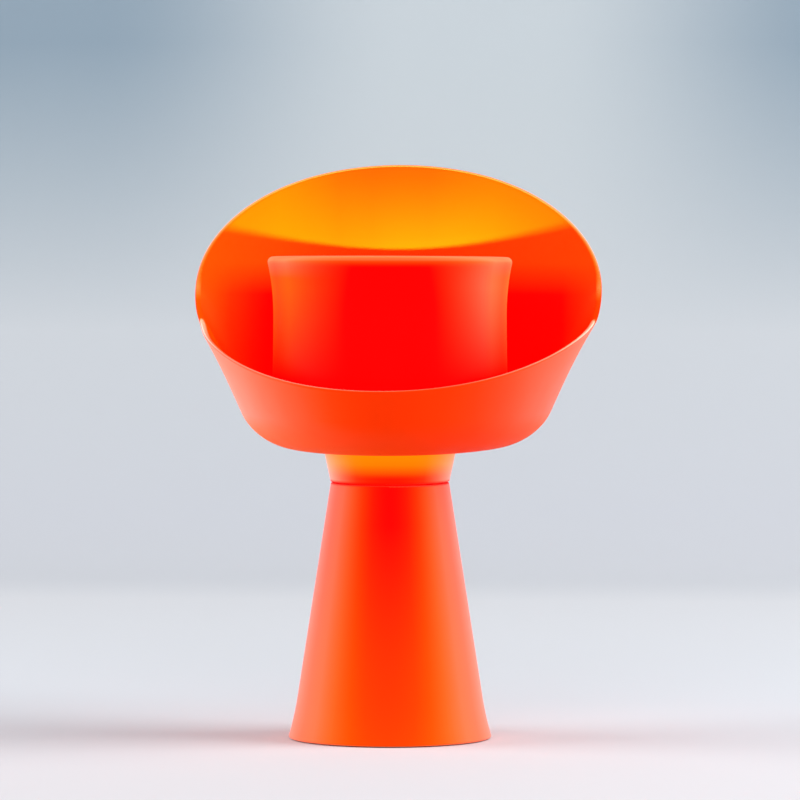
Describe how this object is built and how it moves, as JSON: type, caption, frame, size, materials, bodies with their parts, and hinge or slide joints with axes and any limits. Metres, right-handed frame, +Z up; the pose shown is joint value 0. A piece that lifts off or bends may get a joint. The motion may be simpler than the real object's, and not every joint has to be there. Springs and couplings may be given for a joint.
{
  "type": "table lamp",
  "caption": "Mushroom table lamp with a flared cone base, a glowing neck and an open scoop-shaped bowl that holds a round cup around the bulb.",
  "frame": {"origin": "under the base, on the lamp's upright axis, where the foot pads stand", "axes": "+Z up, -Y to the low front of the bowl, +X to the right seen from the front"},
  "size_m": [0.1448, 0.1107, 0.1999],
  "materials": {
    "lacquer": "matt",
    "glow_plastic": "translucent satin",
    "dark_plastic": "satin",
    "cast_weight": "rough",
    "dark_sheet": "matt",
    "zinc_steel": "satin",
    "pad_rubber": "matt",
    "white_plastic": "satin",
    "brass": "satin",
    "lead_brown": "satin",
    "lead_blue": "satin",
    "holder_plastic": "satin",
    "nickel_cap": "satin",
    "black_glass": "gloss",
    "solder_tip": "satin",
    "opal_glass": "opal",
    "board_aluminium": "matt"
  },
  "bodies": {
    "base": {"base_cone": "lacquer", "socket_ring": "dark_plastic", "ballast_weight": "cast_weight", "bottom_cover": "dark_sheet", "cover_screws": "zinc_steel", "foot_pad": "pad_rubber", "cable_gland": "dark_plastic", "gland_nut": "dark_plastic", "stem_tube": "zinc_steel", "stem_nut_upper": "zinc_steel", "stem_nut_lower": "zinc_steel", "stem_washers": "zinc_steel", "terminal_block": "white_plastic", "terminal_screws": "brass", "lead_live": "lead_brown", "lead_neutral": "lead_blue", "holder_base": "holder_plastic", "holder_sleeve": "holder_plastic", "holder_core": "holder_plastic", "screw_shell": "brass", "centre_contact": "brass", "bulb_cap": "nickel_cap", "bulb_insulator": "black_glass", "bulb_tip": "solder_tip", "bulb_collar": "white_plastic", "bulb_envelope": "opal_glass", "light_board": "board_aluminium"},
    "swivel": {"slip_ring": "dark_plastic"},
    "head": {"neck_collar": "glow_plastic", "bowl": "lacquer", "cup": "lacquer", "lock_ring": "dark_plastic"}
  },
  "joints": [
    {"name": "head_turn", "type": "hinge", "parent": "base", "child": "swivel", "pos_m": [0, 0, 0.0857], "axis": [0, 0, 1], "continuous": true},
    {"name": "head_lift", "type": "slide", "parent": "swivel", "child": "head", "axis": [0, 0, 1], "range_m": [0, 0.094]}
  ]
}
